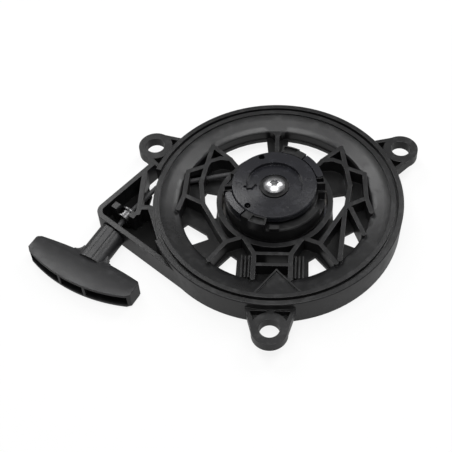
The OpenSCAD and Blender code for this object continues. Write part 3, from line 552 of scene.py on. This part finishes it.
def pale_world(name, strength):
    """A surround of that strength, which the camera itself sees as white."""
    world = bpy.data.worlds.new(name)
    world.use_nodes = True
    tree = world.node_tree
    tree.nodes.clear()
    back = tree.nodes.new("ShaderNodeBackground")
    seen = tree.nodes.new("ShaderNodeLightPath")
    output = tree.nodes.new("ShaderNodeOutputWorld")
    camera = Value(tree, seen.outputs["Is Camera Ray"])
    tree.links.new((camera * (1.0 - strength) + strength).socket, back.inputs["Strength"])
    tree.links.new(back.outputs["Background"], output.inputs["Surface"])
    back.inputs["Color"].default_value = (1, 1, 1, 1)
    return world


class STARTER_OT_stage(bpy.types.Operator):
    """Makes the camera, the pale floor, the surround and the lights"""
    bl_idname = "starter.stage"
    bl_label = "Camera, floor and lights"

    def execute(self, context):
        look = context.scene.starter_studio
        place_camera(look.lens)
        corners = np.array([(-1, -1), (1, -1), (1, 1), (-1, 1)]) * FLOOR_HALF / MM
        level = np.full(len(corners), CAD_BOX[0].z / MM - FLOOR_GAP)
        floor = new_piece("Studio_floor", np.c_[corners, level], [(0, 1, 2, 3)])
        floor.data.materials.append(pale_surface("Studio floor"))
        for name, place, size, setting in LIGHTS:
            soft_light(name, place, size, getattr(look, setting))
        context.scene.world = pale_world("Surround", look.surround)
        context.scene.view_settings.view_transform = "Standard"
        return {"FINISHED"}


# ---- CAD nodes ----

def shade(material, *names):
    """Gives CAD nodes a material."""
    for name in names:
        node = NODES[name]
        node.data.materials.clear()
        node.data.materials.append(material)


def smooth_by_angle():
    """A node group that joins a mesh's loose corners and smooths its blunt edges."""
    weld_gap, sharp = 2e-6, math.radians(28)
    group = bpy.data.node_groups.new("Smooth rounds", "GeometryNodeTree")
    for in_out in ("INPUT", "OUTPUT"):
        group.interface.new_socket("Geometry", in_out=in_out, socket_type="NodeSocketGeometry")
    add = group.nodes.new
    start, end = add("NodeGroupInput"), add("NodeGroupOutput")
    weld = add("GeometryNodeMergeByDistance")
    weld.inputs["Distance"].default_value = weld_gap
    angle = add("GeometryNodeInputMeshEdgeAngle")
    flat = add("FunctionNodeCompare")
    flat.data_type = "FLOAT"
    flat.operation = "LESS_THAN"
    flat.inputs["B"].default_value = sharp
    faces = add("GeometryNodeSetShadeSmooth")
    edges = add("GeometryNodeSetShadeSmooth")
    faces.domain = "FACE"
    edges.domain = "EDGE"
    link = group.links.new
    link(start.outputs[0], weld.inputs["Geometry"])
    link(weld.outputs[0], faces.inputs["Geometry"])
    link(faces.outputs[0], edges.inputs["Geometry"])
    link(angle.outputs["Unsigned Angle"], flat.inputs["A"])
    link(flat.outputs["Result"], edges.inputs["Shade Smooth"])
    link(edges.outputs[0], end.inputs[0])
    return group


class STARTER_OT_housing(bpy.types.Operator):
    """Finishes the moulded housing, the pulley and the bushing"""
    bl_idname = "starter.housing"
    bl_label = "Housing and pulley"

    def execute(self, context):
        look = context.scene.starter_plastic
        colour, rough = tuple(look.housing_colour), look.housing_roughness
        # The housing's recess floors get painted shade below -9 mm, which fades out by -4 mm
        shade(moulded_plastic("Housing plastic", colour, rough, dust=0.004, grain_mm=0.5,
                              edge_mm=look.edge_radius, painted_shade_heights=(-9, -4)), "housing")
        shade(moulded_plastic("Pulley plastic", colour, rough, dust=0.004, grain_mm=0.5,
                              edge_mm=look.edge_radius * 0.6), "pulley", "retainer_bushing")
        return {"FINISHED"}


class STARTER_OT_drive(bpy.types.Operator):
    """Finishes the retainer and the pawls"""
    bl_idname = "starter.drive"
    bl_label = "Retainer and pawls"

    def execute(self, context):
        look = context.scene.starter_plastic
        plastic = moulded_plastic("Retainer plastic", tuple(look.retainer_colour),
                                  look.retainer_roughness, dust=0.003, grain_mm=0.9,
                                  edge_mm=look.edge_radius * 0.6, cone=0.12, worn=0.15)
        shade(plastic, "retainer", "pawl_1", "pawl_2")
        return {"FINISHED"}


class STARTER_OT_metal(bpy.types.Operator):
    """Finishes the screw, the eyelet, the pins, the washers and the springs"""
    bl_idname = "starter.metal"
    bl_label = "Steel pieces"

    def execute(self, context):
        # Painted shade: the eyelet sits deep in the arm, so it gets a copy of the bright steel
        # with its colour scaled by 0.4
        eyelet_shade_share = 0.4
        look = context.scene.starter_metal
        colour, rough = tuple(look.steel_colour), look.steel_roughness
        shade(bright_steel("Bright steel", colour, rough),
              "centre_screw", "handle_washer", "brake_washer", "pawl_pin_1", "pawl_pin_2")
        darker = tuple(c * eyelet_shade_share for c in colour)
        shade(bright_steel("Eyelet steel", darker, rough), "rope_eyelet")
        shade(spring_steel("Spring steel"), "recoil_spring", "brake_spring", "pawl_spring_1",
              "pawl_spring_2", "spring_cover")
        return {"FINISHED"}


class STARTER_OT_handle(bpy.types.Operator):
    """Finishes the pull handle"""
    bl_idname = "starter.handle"
    bl_label = "Handle"

    def execute(self, context):
        look = context.scene.starter_plastic
        shade(moulded_plastic("Grip plastic", tuple(look.grip_colour), look.grip_roughness,
                              dust=0.004, grain_mm=0.35, edge_mm=look.edge_radius * 1.6),
              "handle_grip")
        return {"FINISHED"}


class STARTER_OT_smoothing(bpy.types.Operator):
    """Smooths the round faces of every CAD node"""
    bl_idname = "starter.smoothing"
    bl_label = "Smooth rounds"

    def execute(self, context):
        group = smooth_by_angle()
        for node in NODES.values():
            node.modifiers.new("Smooth rounds", "NODES").node_group = group
        return {"FINISHED"}


# ---- rope ----

def grip_point(x):
    """A point on the handle's axis, that far from the eyelet along the pull."""
    return EYELET + np.append(polar(x, PULL_AZ), 0)


def rope_route():
    """The run's points: from the reel, round the post in the arm, through the eyelet.

    At the post the run is a quadratic Bezier curve, whose middle point is the
    corner between the two straight stretches.
    """
    bend_cut = BEND_R * math.tan(math.radians(BEND_HALF))
    arrive = GUIDE + unit(TANGENT - GUIDE) * bend_cut
    leave = GUIDE + unit(EYELET - GUIDE) * bend_cut
    points = [TANGENT + (arrive - TANGENT) * t for t in np.linspace(0.002, 1, 8)]
    points += [GUIDE * 2 * t * (1 - t) + arrive * (1 - t) ** 2 + leave * t ** 2
               for t in (0.25, 0.5, 0.75, 1.0)]
    points += [leave + (EYELET - leave) * t for t in (0.33, 0.66, 1.0)]
    points += [grip_point(x) for x in (6, 14, 24, 34, 44, KNOT_X - KNOT_R - ROPE_GAP)]
    return points


def outer_turns():
    """The outer turns' points: the tangent, a point straight past it, a falling helix."""
    per_turn, steps = 24, 27
    start = math.degrees(math.atan2(TANGENT[1], TANGENT[0]))
    turn = np.arange(1, steps + 1) / per_turn
    angle = np.radians(start - 360 * turn)
    helix = np.stack([WIND_R * np.cos(angle), WIND_R * np.sin(angle),
                      TANGENT[2] - WIND_PITCH * turn], -1)
    away = np.append(unit((TANGENT - GUIDE)[:2]), 0)
    return [TANGENT, TANGENT + away * WIND_D, *helix]


def inner_layers(name):
    """The layers under the outer turns: a ring whose outer wall swells once for each turn.

    The wall's radius is the outer one less a small depth, plus that depth times
    the root of a sine's size, which has two swellings over the groove's height.
    """
    depth, fit, around, levels = 0.6, 0.12, 120, 41
    outer_r = WIND_R - WIND_D / 2 - ROPE_GAP
    tall = GROOVE_HIGH - GROOVE_LOW
    z = np.linspace(GROOVE_LOW, GROOVE_HIGH, levels)
    swell = np.sqrt(np.abs(np.sin(math.pi * 2 * (z - GROOVE_LOW) / tall)))
    wall = outer_r - depth + depth * swell
    profile = np.vstack([np.c_[wall, z],
                         [[CORE_R + fit, GROOVE_HIGH], [CORE_R + fit, GROOVE_LOW]]])
    angle = np.linspace(0, 2 * math.pi, around, endpoint=False)
    ring = np.stack([profile[None, :, 0] * np.cos(angle)[:, None],
                     profile[None, :, 0] * np.sin(angle)[:, None],
                     np.broadcast_to(profile[None, :, 1], (around, len(profile)))], -1)
    return new_piece(name, ring.reshape(-1, 3), grid_faces(around, len(profile), wrap_rows=True))


def stopper_knot(name, centre, radius, diameter):
    """A trefoil of cord inside a ball.

    x = sin t + 2 sin 2t, y = cos t - 2 cos 2t and z = -sin 3t, which is drawn
    out a little to fill the ball. The cord has six strands that wind round it.
    """
    rows, sides, draw_out, reach = 160, 20, 1.6, 3.0
    strands, winds, valley = 6, 8, 0.93
    t = np.linspace(0, 2 * math.pi, rows, endpoint=False)
    size = (radius - diameter / 2) / reach
    curve = np.stack([np.sin(t) + 2 * np.sin(2 * t), np.cos(t) - 2 * np.cos(2 * t),
                      -np.sin(3 * t)], -1) * size * np.array([1, 1, draw_out])
    curve += centre
    tangent = np.roll(curve, -1, 0) - np.roll(curve, 1, 0)
    tangent /= np.linalg.norm(tangent, axis=1)[:, None]
    side, lift = turned_to(tangent, curve - centre)
    angle = np.linspace(0, 2 * math.pi, sides, endpoint=False)[None, :]
    ridge = valley + (1 - valley) * np.abs(np.cos(strands / 2 * (angle + winds * t[:, None])))
    vertices = rings(curve, diameter / 2 * ridge, side, lift, angle)
    return new_piece(name, vertices, grid_faces(rows, sides, wrap_rows=True))


class STARTER_OT_rope(bpy.types.Operator):
    """Makes the braided rope: its run, its turns on the reel and its knots"""
    bl_idname = "starter.rope"
    bl_label = "Pull rope"

    def execute(self, context):
        look = context.scene.starter_rope
        fibre = cord_fibre("Rope")
        run = braided_cord("Pull_rope", rope_route(), look.diameter, look.sides, look.ring_step)
        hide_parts("rope_run")
        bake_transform(run)
        outer = braided_cord("Rope_outer_turns", outer_turns(), WIND_D, look.sides, look.ring_step)
        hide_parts("rope_winding")
        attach(outer, "reel")
        inner = inner_layers("Rope_inner_layers")
        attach(inner, "reel")
        reel_knot = stopper_knot("Rope_reel_knot", REEL_KNOT, REEL_KNOT_R, diameter=1.5)
        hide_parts("reel_knot")
        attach(reel_knot, "reel")
        handle_knot = stopper_knot("Rope_handle_knot", grip_point(KNOT_X), KNOT_R, diameter=2.3)
        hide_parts("handle_knot")
        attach(handle_knot, "handle")
        for piece in (run, outer, inner, reel_knot, handle_knot):
            piece.data.materials.append(fibre)
        return {"FINISHED"}


# ---- add-on ----

class STARTER_PT_panel(bpy.types.Panel):
    """Lists the steps and their settings"""
    bl_label = "Recoil starter"
    bl_idname = "STARTER_PT_panel"
    bl_space_type = "VIEW_3D"
    bl_region_type = "UI"
    bl_category = "Starter"

    def draw(self, context):
        for settings in GROUPS:
            box = self.layout.box()
            group = getattr(context.scene, settings)
            for key in group.bl_rna.properties.keys():
                if key not in ("rna_type", "name"):
                    box.prop(group, key)
        for step in STEPS:
            self.layout.operator(step.bl_idname)


STEPS = (STARTER_OT_stage, STARTER_OT_housing, STARTER_OT_drive, STARTER_OT_metal,
         STARTER_OT_handle, STARTER_OT_smoothing, STARTER_OT_rope)
GROUPS = {"starter_plastic": StarterPlastic, "starter_metal": StarterMetal,
          "starter_rope": StarterRope, "starter_studio": StarterStudio}


def register():
    """Registers the settings, the steps and the panel."""
    for key, group in GROUPS.items():
        bpy.utils.register_class(group)
        setattr(bpy.types.Scene, key, PointerProperty(type=group))
    for step in STEPS + (STARTER_PT_panel,):
        bpy.utils.register_class(step)


def unregister():
    """Takes them away again."""
    for step in (STARTER_PT_panel,) + STEPS[::-1]:
        bpy.utils.unregister_class(step)
    for key, group in GROUPS.items():
        delattr(bpy.types.Scene, key)
        bpy.utils.unregister_class(group)


def main():
    """Runs every step in order."""
    register()
    for step in STEPS:
        area, name = step.bl_idname.split(".")
        getattr(getattr(bpy.ops, area), name)()


if __name__ == "__main__":
    main()
